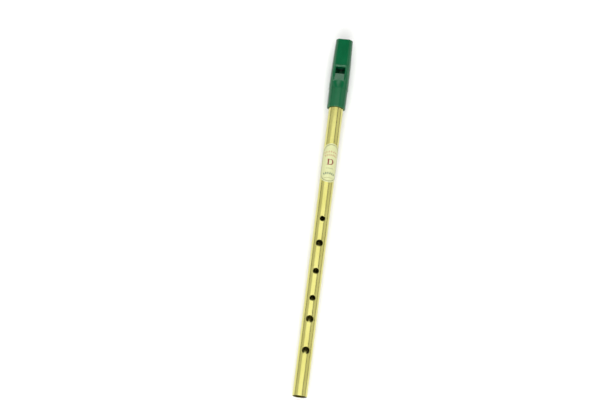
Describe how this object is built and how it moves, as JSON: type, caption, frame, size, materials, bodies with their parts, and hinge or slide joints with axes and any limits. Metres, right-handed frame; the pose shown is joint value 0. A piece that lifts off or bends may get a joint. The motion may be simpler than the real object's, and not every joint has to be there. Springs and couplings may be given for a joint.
{
  "type": "tin whistle",
  "caption": "Tin whistle: a thin brass tube with finger holes along its front and a paper label, in a moulded beak mouthpiece with windway, window and ramp.",
  "frame": {"origin": "centre of the tube's foot end, on the axis of its bore", "axes": "+Y along the bore from the foot to the tip of the mouthpiece, +Z out of the finger holes, +X to the right when looking at the holes with the mouthpiece up"},
  "size_m": [0.0164, 0.308, 0.0164],
  "materials": {
    "brass": "drawn and polished",
    "label_paper": "printed paper under a clear lacquer",
    "sealant": "dried film",
    "green_plastic": "moulded, semi-gloss",
    "plug_plastic": "moulded, semi-gloss"
  },
  "bodies": {
    "tube": {"whistle_tube": "brass", "tube_label": "label_paper"},
    "film": {"sealant_film": "sealant"},
    "mouthpiece": {"mouthpiece_shell": "green_plastic", "fipple_block": "plug_plastic"}
  },
  "joints": [
    {"name": "tuning_slide", "type": "slide", "parent": "tube", "child": "film", "axis": [0, 1, 0], "range_m": [0, 0.008]},
    {"name": "mouthpiece_turn", "type": "hinge", "parent": "film", "child": "mouthpiece", "pos_m": [0, 0.255, 0], "axis": [0, 1, 0], "continuous": true}
  ]
}
